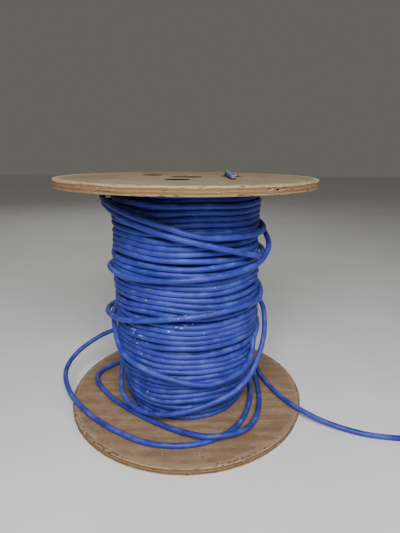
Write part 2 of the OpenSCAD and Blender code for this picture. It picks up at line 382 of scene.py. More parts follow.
def plywood_edge(p, z, arc, across, base_z, seed, tones):
    """The colour and height of a rim or bore: plies, glue lines, grain, voids and smudges."""
    wander = p.times(p.minus(p.noise(p.vector(arc, seed, 0.0), 16, detail=4), 0.5), 0.3)
    level = p.plus(p.math("DIVIDE", p.minus(z, base_z), flange_t), wander)
    plies = p.ramp(level, [(i / PLY_COUNT, tones[i]) for i in range(PLY_COUNT)], mode="CONSTANT")
    in_ply = p.math("FRACT", p.times(level, PLY_COUNT))
    glue = p.math("LESS_THAN", p.math("MINIMUM", in_ply, p.minus(1, in_ply)), 0.085)
    glue_break = p.between(p.noise(p.vector(arc, z, seed), 130, detail=4), 0.42, 0.6)
    long_grain = p.noise(p.vector(p.times(arc, 22), p.times(z, 700), seed), 2, detail=6, rough=0.75)
    end_grain = p.noise(p.vector(arc, z, seed), 900, detail=5, rough=0.75)
    is_end = p.math("GREATER_THAN", p.math("SINE", p.times(level, PLY_COUNT * math.pi)), 0.0)
    dark, light = (0.15, 0.15, 0.15, 1), (0.85, 0.85, 0.85, 1)
    texture = p.mix(is_end, p.ramp(long_grain, [(0.25, dark), (0.75, light)]),
                    p.ramp(end_grain, [(0.3, dark), (0.7, light)]))
    edge = p.mix(0.6, plies, texture, blend="OVERLAY")
    edge = p.mix(p.times(p.times(glue, glue_break), 0.6), edge, tone(70, 50, 34))
    # Voids in the plies get painted shade, a dark patch standing for the hollow, and are pressed in a little
    # by the bump.
    rough_patch = p.noise(p.vector(p.times(arc, 60), p.times(z, 330), seed), 1, detail=4)
    hollow = p.between(rough_patch, 0.61, 0.67)
    edge = p.mix(p.times(hollow, 0.8), edge, tone(58, 34, 24))
    smudge = p.between(p.noise(p.vector(arc, z, seed + 3), 26, detail=5, rough=0.65), 0.42, 0.66)
    edge = p.mix(p.times(smudge, 0.6), edge, tone(124, 99, 70))

    # Deep chips get painted shade, a dark brown where the rim is worn back most.
    painted_chip_shade = p.between(across, flange_r - 1.7 * MM, flange_r - 0.95 * MM, 1, 0)
    edge = p.mix(p.times(painted_chip_shade, 0.85), edge, tone(46, 30, 22))
    # The walls of the bored holes get painted shade: near black in the start holes, dark brown round the
    # arbor, and between the two in the bolt holes.
    bored = p.between(across, 80 * MM, 100 * MM, 1, 0)
    painted_hole_shade = p.mix(p.between(across, 22 * MM, 38 * MM), tone(84, 68, 48), tone(20, 14, 10))
    edge = p.mix(p.times(bored, 0.92), edge, painted_hole_shade)
    return edge, p.minus(end_grain, p.plus(p.times(glue, 0.5), hollow))


def plywood_material(name, base_z, seed, face_tones, edge_tones):
    """Worn plywood: plain sliced veneer on both faces, and plies on the rim and in the bores."""
    p = Paint(name, roughness=0.8, specular=0.2)
    x, y, z = p.parts(p.place)
    across = p.math("SQRT", p.plus(p.times(x, x), p.times(y, y)))
    arc = p.times(p.math("ARCTAN2", y, x), flange_r)
    shifted = p.vector(p.plus(x, seed), y, z)
    face, grain, face_height = plywood_face(p, shifted, arc, across, seed, face_tones)
    edge, edge_height = plywood_edge(p, z, arc, across, base_z, seed, edge_tones)
    flat = p.between(p.math("ABSOLUTE", p.parts(p.normal_out)[2]), 0.6, 0.85)
    height = p.plus(p.times(face_height, flat), p.times(edge_height, p.minus(1, flat)))
    roughness = p.between(grain, 0.3, 0.7, 0.74, 0.9)
    return p.finish(p.mix(flat, edge, face), roughness, p.bump(height, 0.35 * MM, 0.6))


def kraft_material():
    """Spiral-wound kraft board with the seams of its outer ply."""
    p = Paint("kraft_board", roughness=0.85, specular=0.2)
    x, y, z = p.parts(p.place)
    turn = p.math("DIVIDE", p.math("ARCTAN2", y, x), TAU)
    spiral = p.math("FRACT", p.minus(p.math("DIVIDE", z, 0.1), turn))
    seam = p.math("LESS_THAN", p.math("MINIMUM", spiral, p.minus(1, spiral)), 0.008)
    fibre = p.noise(p.stretch(p.place, (300, 300, 120)), 5, detail=5, rough=0.7)
    board = p.ramp(fibre, [(0.3, tone(120, 92, 62)), (0.55, tone(150, 118, 84)), (0.75, tone(172, 140, 104))])
    board = p.mix(p.between(p.noise(p.place, 20, detail=3), 0.5, 0.7, 0.0, 0.3), board, tone(98, 76, 54))
    colour = p.mix(p.times(seam, 0.7), board, tone(70, 50, 34))
    height = p.minus(p.times(fibre, 0.3), seam)
    return p.finish(colour, normal=p.bump(height, 0.2 * MM, 0.6))


def zinc_material():
    """Bright zinc plating with fine turning marks, a crystalline cloud and tarnish in patches."""
    p = Paint("zinc_steel", roughness=0.3, metallic=1.0)
    cloud = p.noise(p.place, 500, detail=4)
    tarnish = p.between(p.noise(p.place, 140, detail=5), 0.5, 0.7)
    zinc = p.ramp(cloud, [(0.35, tone(168, 172, 176)), (0.65, tone(205, 208, 210))])
    colour = p.mix(p.times(tarnish, 0.5), zinc, tone(138, 128, 104))
    marks = p.noise(p.stretch(p.place, (1, 1, 30)), 700, detail=3)
    roughness = p.plus(p.between(cloud, 0.3, 0.7, 0.22, 0.38), p.times(tarnish, 0.2))
    return p.finish(colour, roughness, p.bump(marks, 0.03 * MM, 0.5))


def plastic_material(name, colour, dark, roughness=0.32):
    """Extruded insulation or filler: one colour with slight cloudiness."""
    p = Paint(name)
    cloud = p.noise(p.place, 600, detail=3)
    paint = p.ramp(cloud, [(0.35, dark), (0.6, colour)])
    rough = p.between(cloud, 0.3, 0.7, roughness, roughness + 0.12)
    return p.finish(paint, rough, p.bump(p.noise(p.place, 4000, detail=2), 0.01 * MM, 0.4))


def copper_material():
    """Bare copper, browner where it has aged."""
    p = Paint("bare_copper", metallic=1.0)
    age = p.noise(p.place, 1500, detail=3)
    colour = p.ramp(age, [(0.35, tone(150, 84, 52)), (0.65, tone(216, 138, 98))])
    return p.finish(colour, p.between(age, 0.3, 0.7, 0.25, 0.45))


def tie_material():
    """Black hook-and-loop webbing with a tufted pile."""
    p = Paint("hook_and_loop", roughness=0.95, specular=0.15)
    pile = p.noise(p.place, 2200, detail=4, rough=0.75)
    tufts = p.cells(p.place, 1100)
    colour = p.ramp(pile, [(0.3, tone(9, 9, 11)), (0.6, tone(26, 26, 30)), (0.8, tone(58, 58, 64))])
    height = p.minus(pile, tufts)
    return p.finish(colour, normal=p.bump(height, 0.35 * MM, 0.9))


def thread_material():
    p = Paint("rip_thread", roughness=0.8)
    fibre = p.noise(p.stretch(p.place, (1, 1, 4)), 3000, detail=3)
    return p.finish(p.ramp(fibre, [(0.3, tone(168, 164, 150)), (0.7, tone(226, 223, 210))]),
                    normal=p.bump(fibre, 0.05 * MM, 0.6))


def floor_material():
    """Plain pale laminate."""
    p = Paint("pale_floor", roughness=0.55, specular=0.3)
    cloud = p.noise(p.place, 6, detail=4)
    return p.finish(p.ramp(cloud, [(0.3, tone(226, 226, 228)), (0.7, tone(234, 234, 235))]))


make_camera()
jacket = jacket_material()

# ---- free cable
# Two slack loops and the lead. The points, in mm, are the CAD source's.
free_route = [
    [-80, 46, 40], [-40, 86, 33], [14, 95, 24], [62, 70, 15], [86, 14, 12.6],
    [80, -43, 12.5], [57, -93, 12.5], [14, -120, 12.3], [-38, -120, 12.5], [-84, -96, 12.5],
    [-122, -64, 12.8], [-152, -30, 18], [-168, 8, 28], [-158, 36, 42], [-126, 48, 62],
    [-92, 54, 74], [-52, 82, 77], [0, 104, 66], [54, 92, 44], [90, 50, 21],
    [97, 4, 13.2], [90, -55, 13], [70, -101, 17.6], [32, -118, 19.4], [0, -109, 17],
    [-41, -82, 12.9], [-86, -45, 12.4], [-117, -8, 12.4], [-128, 20, 12.4], [-118, 44, 12.4],
    [-92, 68, 12.4], [-52, 102, 12.4], [0, 120, 12.4], [60, 106, 12.4], [99, 62, 12.4],
    [106, 16, 12.4], [121, -32, 12.6], [142, -66, 12.9], [170, -83, 7], [206, -98, 3.6],
    [246, -107, 3.6], [277, -107.8, 4.2],
]
# From the coil's last turn the end crosses over the lead and comes down to the surface behind the coil.
# It bends more gently here than the CAD source's tube, which ends at the same place.
tail_route = [
    [274, -118, 11], [282, -109.8, 11.2], [291, -103, 10.6], [301, -99.6, 8.4],
    [312, -98.6, 5.7], [324, -99, 3.8], [337.5, -99.2, 3.3], [351.3, -98.1, 3.3],
]
COIL_TURNS = 4
TURN_STEPS = 72
ROLL_FROM = 297
ROLL_OVER = 62
LEAVES_AT = 3 * 360 + 296


def coil_line():
    """The coil's turns, clockwise from its back. Four strands lie in a square. In one stretch of each turn
    they roll a quarter turn round its middle, so that each strand moves on to the next corner."""
    corner = (coil_band - cable_d) / 2 * math.sqrt(2)
    points = []
    for degrees in range(0, LEAVES_AT + 1, 360 // TURN_STEPS):
        turn, within = divmod(degrees, 360)
        share = min(max((within - ROLL_FROM) / ROLL_OVER, 0), 1)
        eased = 0.5 - 0.5 * math.cos(math.pi * share)
        if turn == COIL_TURNS - 1:
            eased = 0
        place = math.radians(-45 - 90 * (turn + eased))
        lift = 0.5 * MM * math.sin(math.pi * share)
        x, y = on_circle(coil_mid_r + corner * math.cos(place), 90 - degrees)
        height = coil_centre.z + corner * math.sin(place) + lift
        points.append([coil_centre.x + x, coil_centre.y + y, height])
    return np.array(points)


def free_line():
    route = np.array(free_route) * MM
    tail = np.array(tail_route) * MM
    coil = coil_line()
    lead = smooth(route, 14, after=coil[0])
    entry = smooth([route[-1], coil[0]], 6, before=route[-2], after=coil[2])
    end = smooth(np.vstack([coil[-1], tail]), 8, before=coil[-3])
    return even(np.vstack([lead, entry[1:-1], coil[:-1], end]), 2.2 * MM)


free_cable_line = free_line()
free_cable = cable("free_cable", free_cable_line, 14, jacket, cut_ends=(False, True), ripple=True)

# ---- inner end of the cable
# It comes up through a start hole and lies over the upper flange.
inner_route = [
    [46, 38, 279.8], [48.5, 34.5, 283], [49, 28, 286.4], [49, 18, 290.8], [49, 7, 295.7],
    [49, -6, 296.9], [49, -20, 295.8], [49, -38, 295.3], [49.5, -56, 295.3],
]
inner_line = even(smooth(np.array(inner_route) * MM, 10), 1.6 * MM)
inner_cable = cable("inner_cable_end", inner_line, 20, jacket, cut_ends=(False, True), ripple=True)

# ---- wound turns
LAYERS = 8
PITCH = 6.75 * MM
OUTER_PITCH = 7.2 * MM
START_ANGLE = math.radians(60)
LAST_LAYER_START = math.radians(-180)
END_GAP = 0.1 * MM
LEAN = 1.3 * MM
SHOWN_LAYERS = 3
SHOWN_PER_TURN = 96
HIDDEN_PER_TURN = 40
LAST_STOPS_SHORT = 7 * MM
LOOSE_END = (150.1, 92.3, 40)


def pack_profile():
    """Heights and outer radii of the wound cable, read from its CAD solid."""
    outer = {}
    for v in nodes["cable_winding"].data.vertices:
        height = round(v.co.z, 5)
        outer[height] = max(outer.get(height, 0), math.hypot(v.co.x, v.co.y))
    heights = sorted(outer)
    return np.array(heights), np.array([outer[h] for h in heights])


profile_z, profile_r = pack_profile()
first_r = core_r + cable_r + END_GAP
last_r = profile_r.max() - cable_r
layer_step = (last_r - first_r) / (LAYERS - 1)
turn_top = inner_high - cable_r - 2 * END_GAP
turn_bottom = inner_low + cable_r + 2 * END_GAP


def lowest_turn(level):
    """The height from which the pack is thick enough for a layer at this radius."""
    heights = np.linspace(turn_bottom, turn_top, 400)
    enough = np.interp(heights, profile_z, profile_r) - cable_r >= level - 2.6 * MM
    return heights[enough][0]


def wobble(angle, turn, seed, size):
    """A smooth random offset round the pack, and from one turn to the next."""
    return size * noise.noise(Vector((1.3 * math.cos(angle), 1.3 * math.sin(angle), turn + seed)))


def ease(share):
    return share * share * (3 - 2 * share)


def averaged(row, reach):
    """Each value's mean with its neighbours, that many on either side."""
    width = 2 * reach + 1
    return np.convolve(np.pad(row, reach, mode="edge"), np.ones(width) / width, mode="valid")


def settle(r, z, per_turn, least_r, low, high):
    """Pushes neighbouring turns apart to about a cable's width. Squeezed ones rise outwards."""
    gap = 0.99 * cable_d
    way = 1 if z[-1] > z[0] else -1
    inner, outer = slice(None, -per_turn), slice(per_turn, None)
    for _ in range(300):
        short = np.clip(0.75 * gap - way * (z[outer] - z[inner]), 0, None) / 2 * way
        z[outer] += short
        z[inner] -= short
        z = np.clip(z, low, high)
    for _ in range(160):
        dr = r[outer] - r[inner]
        dz = z[outer] - z[inner]
        apart = np.maximum(np.hypot(dr, dz), 0.1 * MM)
        short = np.clip(gap - apart, 0, None) / 2 / apart
        r[outer] += short * dr
        r[inner] -= short * dr
        z[outer] += short * dz
        z[inner] -= short * dz
        r = np.clip(r, least_r, least_r + 3.5 * MM)
        z = np.clip(z, low, high)
    return averaged(r, 3), averaged(z, 3)


def leaning(angle, r, z):
    """The upper part of the pack is pressed over a little towards -X."""
    part = np.clip(np.minimum((z - 120 * MM) / (90 * MM), (278 * MM - z) / (30 * MM)), 0, 1)
    return r - LEAN * ease(part) * np.cos(angle) * (r - core_r) / (last_r - core_r)


def uneven(a, r, z, turn, layer):
    """Heights and radii that wander like hand-laid turns, but not at the two ends of the layer."""
    fade = np.clip(np.minimum(turn, turn[-1] - turn) / 0.8, 0, 1)
    wanders = ((z, 0.42, 3.1 * layer, 7), (z, 1.37, 17 + layer, 4.5), (r, 1.21, 40 + layer, 2.2))
    for row, pace, seed, size in wanders:
        row += np.array([wobble(x, pace * t, seed, size * MM) for x, t in zip(a, turn)]) * fade
    return z, r


def wound_layers():
    """Angles, radii and heights for each layer, from the innermost, each with its climb to the next.
    All turns run clockwise."""
    lines = []
    angle = START_ANGLE
    for layer in range(LAYERS):
        shown = layer >= LAYERS - SHOWN_LAYERS
        last = layer == LAYERS - 1
        per_turn = SHOWN_PER_TURN if shown else HIDDEN_PER_TURN
        level = first_r + layer * layer_step
        bottom = lowest_turn(level)
        top = turn_top - (LAST_STOPS_SHORT if last else 0)
        start, end = (top, bottom) if layer % 2 == 0 else (bottom, top)
        turns = round(abs(end - start) / (OUTER_PITCH if shown else PITCH))
        if layer == LAYERS - 2:
            turns += (START_ANGLE - LAST_LAYER_START) / TAU
        count = round(turns * per_turn)
        share = np.arange(count + 1) / count
        a = angle - TAU * turns * share
        z = start + (end - start) * share
        r = np.full(count + 1, level)
        if shown:
            z, r = uneven(a, r, z, share * turns, layer)
            least = np.minimum(level, np.interp(z, profile_z, profile_r) - cable_r) - 0.5 * MM
            r = np.minimum(r, least + 2 * MM)
            r, z = settle(r, z, per_turn, least, min(start, end), max(start, end))
        if not last:
            a, r, z = with_climb(a, r, z, layer, level)
        angle = a[-1]
        lines.append((layer, a, leaning(a, r, z), z))
    return lines


def with_climb(a, r, z, layer, level):
    """Adds the stretch in which the cable climbs from one layer to the start of the next."""
    outermost = layer == LAYERS - 2
    turn = TAU - (START_ANGLE - LAST_LAYER_START) % TAU if outermost else math.pi
    next_level = level + layer_step
    next_start = lowest_turn(next_level) if layer % 2 == 0 else turn_top
    share = np.arange(1, 49) / 48
    r_end = min(next_level, np.interp(next_start, profile_z, profile_r) - cable_r)
    bulge = 4.5 * MM * np.sin(np.pi * share) if outermost else 0
    climb_r = r[-1] + (r_end - r[-1]) * ease(share) + bulge
    climb_z = z[-1] + (next_start - z[-1]) * ease(share)
    return np.r_[a, a[-1] - turn * share], np.r_[r, climb_r], np.r_[z, climb_z]


def under(a, r, z, line, own):
    """Presses the wound turns in where the loose ones lie over them. The last own points are left alone."""
    tree = kdtree.KDTree(len(line))
    for index, point in enumerate(line):
        tree.insert(point, index)
    tree.balance()
    points = from_axis(a, r, z)
    for index in range(len(a) - own):
        found, _, gap = tree.find(points[index])
        if gap < cable_d and math.hypot(found.x, found.y) > r[index] - 1 * MM:
            r[index] -= min(cable_d - gap, 4 * MM)
    return averaged(r, 2)


# The turns that have come loose on the pack, clockwise from the end of the outermost layer: degrees, mm from
# the axis, mm of height. Behind the pack they cross each other, one a cable's width outside the other. Many
# points on the front half were measured on the photo by a scratch script. The hidden ones are guesses.
loose_turns = [
    (0, 88.2, 276), (-50, 88.6, 278), (-100, 88.4, 279), (-150, 89, 278.5), (176, 92.4, 274),
    (160, 94.2, 265), (140, 94.4, 250), (110, 94.4, 233), (80, 94.4, 220), (50, 94.4, 211),
    (20, 92.8, 206.5), (-10, 93.6, 206.5), (-36, 97.4, 209.5), (-66, 97.8, 223), (-81, 98, 230),
    (-112, 98, 243), (-133, 98, 252), (-148, 97.8, 259), (-165, 98.6, 263.5), (170, 99.5, 262),
    (150, 100.9, 260), (125, 99.5, 255), (100, 96.5, 250), (80, 94.6, 247), (45, 93.2, 242),
    (5, 92.2, 237), (-35, 95.6, 234), (-73, 97, 236), (-88, 97, 240), (-103, 96.8, 247),
    (-122, 97.4, 255), (-142, 99.6, 263.5), (-162, 100.3, 270.5), (180, 100, 271.5),
    (165, 100.4, 270.5), (140, 98.5, 266.5), (110, 99.5, 258), (85, 101, 249), (60, 100.4, 241),
    (30, 98, 232), (5, 97.6, 226), (-12, 100.4, 217.2), (-20, 101.4, 211.8), (-27, 99.8, 204.6),
    (-35, 98, 200), (-60, 98, 196), (-81, 98, 194), (-104, 97.7, 191), (-136, 97.6, 189),
    (-155, 96.5, 189), (176, 94.6, 186), (140, 94.4, 180), (100, 94.4, 174), (60, 94.4, 167),
    (20, 93.4, 160), (-8, 93.4, 155.5), (-31, 96.6, 153), (-54, 98, 156), (-87, 98.1, 152),
    (-109, 98.2, 147), (-132, 97.7, 138), (-152, 97.4, 130.5), (-164, 100.2, 129.5),
    (-172, 101.2, 127.5), (175, 101.3, 125.5), (150, 98, 121.5), (115, 95, 117), (80, 94.6, 114),
    (40, 94.6, 111), (20, 94, 109.5), (0, 92.5, 107), (-15, 91.3, 103.5), (-28, 91.5, 99),
    (-33.5, 94.3, 88.5), (-47, 96.9, 75), (-71, 97.1, 69), (-83, 96.6, 70), (-98, 97, 76),
    (-114, 96.7, 81), (-129, 97, 86.7), (-145, 96.6, 92.7), (-156, 95.2, 104.5), (-165, 94.6, 115.5),
    (-174, 94.6, 121), (170, 94.6, 126), (145, 94.6, 131), (110, 94.6, 136), (70, 95, 138),
    (35, 97, 135), (15, 98.6, 130.5), (0, 100.2, 124.5), (-8, 101, 111.7), (-16, 101.2, 97.5),
    (-30, 99.4, 75), (-43, 99, 60.5), (-58, 98.3, 50.5), (-72, 96, 43.5), (-87, 95, 36.5),
    (-104, 95.5, 29.5), (-117, 96, 26.5), (-128, 96.5, 26.5), (-138, 97, 30), (-147, 95.5, 32.5),
    (-157, 91.6, 36.5), (-168, 88.5, 38.5), (179, 88.9, 41),
]


def loose_line(start_angle, start_r, start_z):
    """The loose turns, from the end of the outermost layer to where the free cable starts."""
    first = (math.degrees(start_angle) % 360, start_r / MM, start_z / MM)
    rows = clockwise([first] + loose_turns + [LOOSE_END])
    out = np.array(free_route[1]) * MM
    after = [math.atan2(out[1], out[0]), math.hypot(out[0], out[1]), out[2]]
    while after[0] > rows[-1][0]:
        after[0] -= TAU
    before = rows[0] + [TAU / 18, 0, -0.5 * MM]
    line = smooth(rows, 10, before=before, after=after)
    return even(from_axis(line[:, 0], line[:, 1], line[:, 2]), 2.4 * MM)


winding_pieces = []
layer_rows = wound_layers()
_, last_angles, last_radii, last_heights = layer_rows[-1]
loose_path = loose_line(last_angles[-1], last_radii[-1], last_heights[-1])
for layer_index, angles, radii, heights in layer_rows:
    if layer_index >= LAYERS - 2:
        radii = under(angles, radii, heights, loose_path, own=110)
    layer_sides = 14 if layer_index >= LAYERS - SHOWN_LAYERS else 10
    layer_path = from_axis(angles, radii, heights)
    winding_pieces.append(cable(f"wound_layer_{layer_index + 1}", layer_path, layer_sides, jacket))
winding_pieces.append(cable("loose_turns", loose_path, 14, jacket, ripple=True))


# ---- flanges
RIM_STEPS = 960
FLANGE_SHARP = 38
face_radii = (30, 60, 95, 125, 142, 148, 150.4, 151.5)
# Four rows for each ply, closer together near the glue lines.
rim_heights = (0.35, 0.75, 1.25, 1.7, 1.85, 2.3, 2.9, 3.4, 3.65, 4.1,
               4.7, 5.2, 5.45, 5.9, 6.5, 7.0, 7.25, 7.75, 8.25, 8.65)

# Chips and voids in each rim: degrees, height above the underside, width, height and depth, in mm.
# Those on the front lie about where the photo shows them.
top_chips = [
    (-130, 6.6, 5, 1.6, 1.4), (-125, 6.3, 4, 1.3, 1.2), (-121, 6.5, 6, 1.2, 1.3),
    (-137, 6.2, 4, 1.5, 1.0), (-150, 5.6, 5, 1.2, 1.0), (-136, 1.9, 4, 1.6, 1.2),
    (-116, 5.2, 3, 1.0, 0.9), (-92, 3.4, 5, 1.0, 0.7), (-61, 5.4, 6, 2.0, 2.4), (-57.5, 4.6, 5, 2.2, 2.8),
    (-55, 5.1, 3, 1.4, 2.0), (-80, 4.2, 6, 0.9, 0.8), (-20, 3.5, 7, 1.4, 1.2), (15, 6.6, 5, 1.2, 1.4),
    (62, 2.0, 8, 1.4, 1.3), (104, 5.3, 6, 1.6, 1.8), (148, 3.6, 9, 1.2, 1.0), (171, 6.9, 4, 1.3, 1.5),
    (-171, 0.6, 9, 1.2, 1.4), (-104, 0.5, 6, 0.9, 0.9),
]
bottom_chips = [
    (-122, 1.0, 8, 1.6, 1.5), (-113, 2.0, 5, 1.3, 1.2), (-105, 0.8, 7, 1.2, 1.3), (-89, 3.6, 4, 1.2, 1.2),
    (-84, 5.2, 3, 1.2, 1.4), (-79, 8.2, 5, 1.6, 1.6), (-76, 7.2, 3, 1.4, 1.5), (-72, 7.9, 6, 1.9, 2.0),
    (-67, 7.0, 6, 1.7, 2.2), (-63, 6.2, 4, 1.4, 1.6), (-58, 4.0, 5, 1.6, 1.6), (-47, 2.2, 6, 1.4, 1.3),
    (-133, 8.2, 9, 1.9, 2.2), (-145, 4.4, 6, 1.2, 1.0), (-127, 8.4, 5, 1.5, 2.0), (-97, 8.5, 6, 1.3, 1.8),
    (-117, 8.3, 6, 1.4, 1.9), (-92, 8.5, 3, 1.2, 1.7), (-53, 8.3, 5, 1.4, 1.9), (-139, 7.6, 5, 1.6, 1.8),
    (-30, 0.7, 8, 1.3, 1.3), (10, 5.1, 6, 1.6, 1.4), (48, 8.4, 6, 1.2, 1.6), (95, 1.9, 9, 1.4, 1.2),
    (133, 6.9, 5, 1.4, 1.6), (170, 0.5, 9, 1.4, 1.6),
]


def rim_wear(degrees, height, seed, chips):
    """How far the rim is worn back at an angle and a height above the underside, in mm."""
    arc = math.radians(degrees) * flange_r / MM
    around = Vector((*on_circle(1, degrees), seed))
    ply = int(height / (flange_t / MM) * PLY_COUNT)
    worn = 0.2 + 0.18 * noise.noise(around * 3 + Vector((0, 0, 7 * ply)))
    worn += 0.22 * noise.noise(Vector((arc / 9, 5.0 * ply, seed)))
    worn += 0.2 * abs(noise.noise(Vector((arc / 1.7, height * 1.4, seed + 9))))
    from_arris = min(height, flange_t / MM - height)
    nibble = noise.noise(Vector((arc / 11, 3.0 * (height > 4), seed + 2)))
    nibble += 0.6 * noise.noise(Vector((arc / 3, 3.0 * (height > 4), seed + 5)))
    worn += 2.8 * max(nibble - 0.03, 0) * max(1 - from_arris / 2.0, 0)
    for at, level, width, tall, deep in chips:
        along = ((degrees - at + 180) % 360 - 180) * math.pi / 180 * flange_r / MM
        if abs(along) > width:
            continue
        rag = 1 + 0.55 * noise.noise(Vector((arc / 1.3, height / 0.7, seed + 4)))
        reach = math.hypot(2 * along / width, 1.7 * (height - level) / tall) * rag
        worn += deep * ease(min(max(1.25 - reach, 0), 1))
    return max(worn, 0)


def flange_profile():
    """The lathe profile over the top face, down the rim and back: (radius, height, share of wear) rows."""
    thick = flange_t / MM
    top = [(arbor_r / MM, thick, 0)] + [(r, thick, 0) for r in face_radii]
    top += [(flange_r / MM - 0.55, thick, 0.5), (flange_r / MM - 0.18, thick - 0.14, 1)]
    rim = [(flange_r / MM, h, 1) for h in reversed(rim_heights)]
    low = [(r, thick - h, share) for r, h, share in reversed(top)]
    return top + rim + low


def turned_disc(name, base_z, seed, chips, material):
    """A plywood disc with a worn, chipped rim, and its arbor hole."""
    profile = flange_profile()
    vertices = []
    for radius, height, share in profile:
        for i in range(RIM_STEPS):
            degrees = 360 * i / RIM_STEPS
            back = share * rim_wear(degrees, height, seed, chips) if share else 0
            r = (radius - back) * MM
            vertices.append((*on_circle(r, degrees), base_z + height * MM))
    faces = ring_faces(len(profile) + 1, RIM_STEPS) % len(vertices)
    return link(name, np.array(vertices), faces[:, ::-1].tolist(), material, sharp=FLANGE_SHARP)


def lathe_cutter(name, centre, profile, seed, rag=0.0, steps=72):
    """A closed turned solid for cutting a hole, from (radius, height) rows, slightly ragged."""
    vertices = []
    for radius, height in profile:
        for i in range(steps):
            a = TAU * i / steps
            rough = rag * noise.noise(Vector((3.2 * math.cos(a), 3.2 * math.sin(a), seed + height * 300)))
            r = radius + rough
            vertices.append((centre[0] + r * math.cos(a), centre[1] + r * math.sin(a), height))
    return link(name, np.array(vertices), tube_faces(len(profile), steps))


def cut(piece, cutters):
    """Subtracts the cutters and leaves the result as the piece's own mesh."""
    for cutter in cutters:
        boolean = piece.modifiers.new("hole", "BOOLEAN")
        boolean.operation = "DIFFERENCE"
        boolean.solver = "EXACT"
        boolean.object = cutter
    graph = bpy.context.evaluated_depsgraph_get()
    result = bpy.data.meshes.new_from_object(piece.evaluated_get(graph))
    piece.modifiers.clear()
    shade(result, FLANGE_SHARP)
    piece.data = result
    for cutter in cutters:
        bpy.data.objects.remove(cutter)


def start_hole_cutters(base_z, seed):
    """Bored holes for the inner end, with slightly ragged walls."""
    cutters = []
    for index, degrees in enumerate(hole_angles):
        centre = on_circle(hole_circle, degrees)
        top = base_z + flange_t
        heights = [base_z + h * MM for h in (-1, 1, 3, 5, 7)] + [top - 0.5 * MM, top + 1 * MM]
        profile = [(hole_r, height) for height in heights]
        cutters.append(lathe_cutter(f"start_hole_{index}", centre, profile, seed + index, rag=0.5 * MM))
    return cutters


def bolt_cutters(base_z, profile):
    rows = [(radius * MM, base_z + height * MM) for radius, height in profile]
    return [lathe_cutter(f"bolt_hole_{d}", on_circle(bolt_circle, d), rows, d) for d in bolt_angles]


def make_flanges():
    top_wood = plywood_material(
        "plywood_top", inner_high, 0.0,
        [tone(108, 92, 64), tone(142, 126, 97), tone(172, 156, 128), tone(106, 90, 60), tone(202, 186, 158)],
        [tone(146, 124, 92), tone(120, 92, 62), tone(138, 111, 80), tone(122, 95, 66), tone(168, 146, 114)],
    )
    low_wood = plywood_material(
        "plywood_low", 0.0, 5.0,
        [tone(120, 94, 68), tone(146, 120, 95), tone(168, 143, 118), tone(118, 92, 66), tone(164, 140, 113)],
        [tone(162, 137, 106), tone(112, 81, 54), tone(148, 120, 89), tone(110, 81, 56), tone(172, 148, 118)],
    )
    top = turned_disc("top_flange_plywood", inner_high, 11.0, top_chips, top_wood)
    low = turned_disc("bottom_flange_plywood", 0.0, 23.0, bottom_chips, low_wood)
    bolt_hole = [(3.1, -1), (3.1, 5.55), (6.5, 8.96), (6.5, 10)]
    nut_recess = [(9.2, -1), (9.2, 1.4), (4, 1.41), (4, 10)]
    cut(top, start_hole_cutters(inner_high, 1.5) + bolt_cutters(inner_high, bolt_hole))
    cut(low, start_hole_cutters(0.0, 6.5) + bolt_cutters(0.0, nut_recess))
    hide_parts("top_flange")
    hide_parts("bottom_flange")
    return [top, low]


# ---- what shows at the cable's two cut ends
pair_tones = {
    "blue": (tone(24, 62, 168), tone(16, 44, 130)),
    "orange": (tone(226, 120, 30), tone(196, 92, 20)),
    "green": (tone(30, 130, 62), tone(20, 98, 46)),
    "brown": (tone(112, 68, 38), tone(84, 50, 28)),
}
PAIR_R = 1.5 * MM
WIRE_R = 0.48 * MM
CORE_WIRE_R = 0.26 * MM
PAIR_LAY = 11 * MM
BARE_OUT = 4 * MM
FILLER_RINGS = 10
insulations = {name: plastic_material(f"{name}_insulation", *tones) for name, tones in pair_tones.items()}
white_wire = plastic_material("white_insulation", tone(226, 226, 220), tone(200, 200, 192))
copper = copper_material()
filler_plastic = plastic_material("filler_plastic", tone(104, 150, 166), tone(78, 122, 142), roughness=0.45)
rip_thread = thread_material()


def tube(line, radius, sides):
    """Vertices and faces of a plain closed tube."""
    spoke = spokes(line, sides)[2]
    vertices = (line[:, None, :] + radius * spoke).reshape(-1, 3)
    return vertices, tube_faces(len(line), sides)


def joined(name, parts, materials):
    """One object from (vertices, faces, material index) parts."""
    vertices, faces, indices = [], [], []
    for part_vertices, part_faces, index in parts:
        base = sum(len(v) for v in vertices)
        vertices.append(part_vertices)
        faces += [[i + base for i in face] for face in part_faces]
        indices += [index] * len(part_faces)
    obj = link(name, np.vstack(vertices), faces, sharp=40)
    for material in materials:
        obj.data.materials.append(material)
    obj.data.polygons.foreach_set("material_index", indices)
    return obj


def end_frame(line):
    """The tip of a cut end and its axes: two across and one out along the cable."""
    out = line[-1] - line[-3]
    out /= np.linalg.norm(out)
    across = np.cross(out, (0, 0, 1))
    across /= np.linalg.norm(across)
    return line[-1], across, np.cross(across, out), out


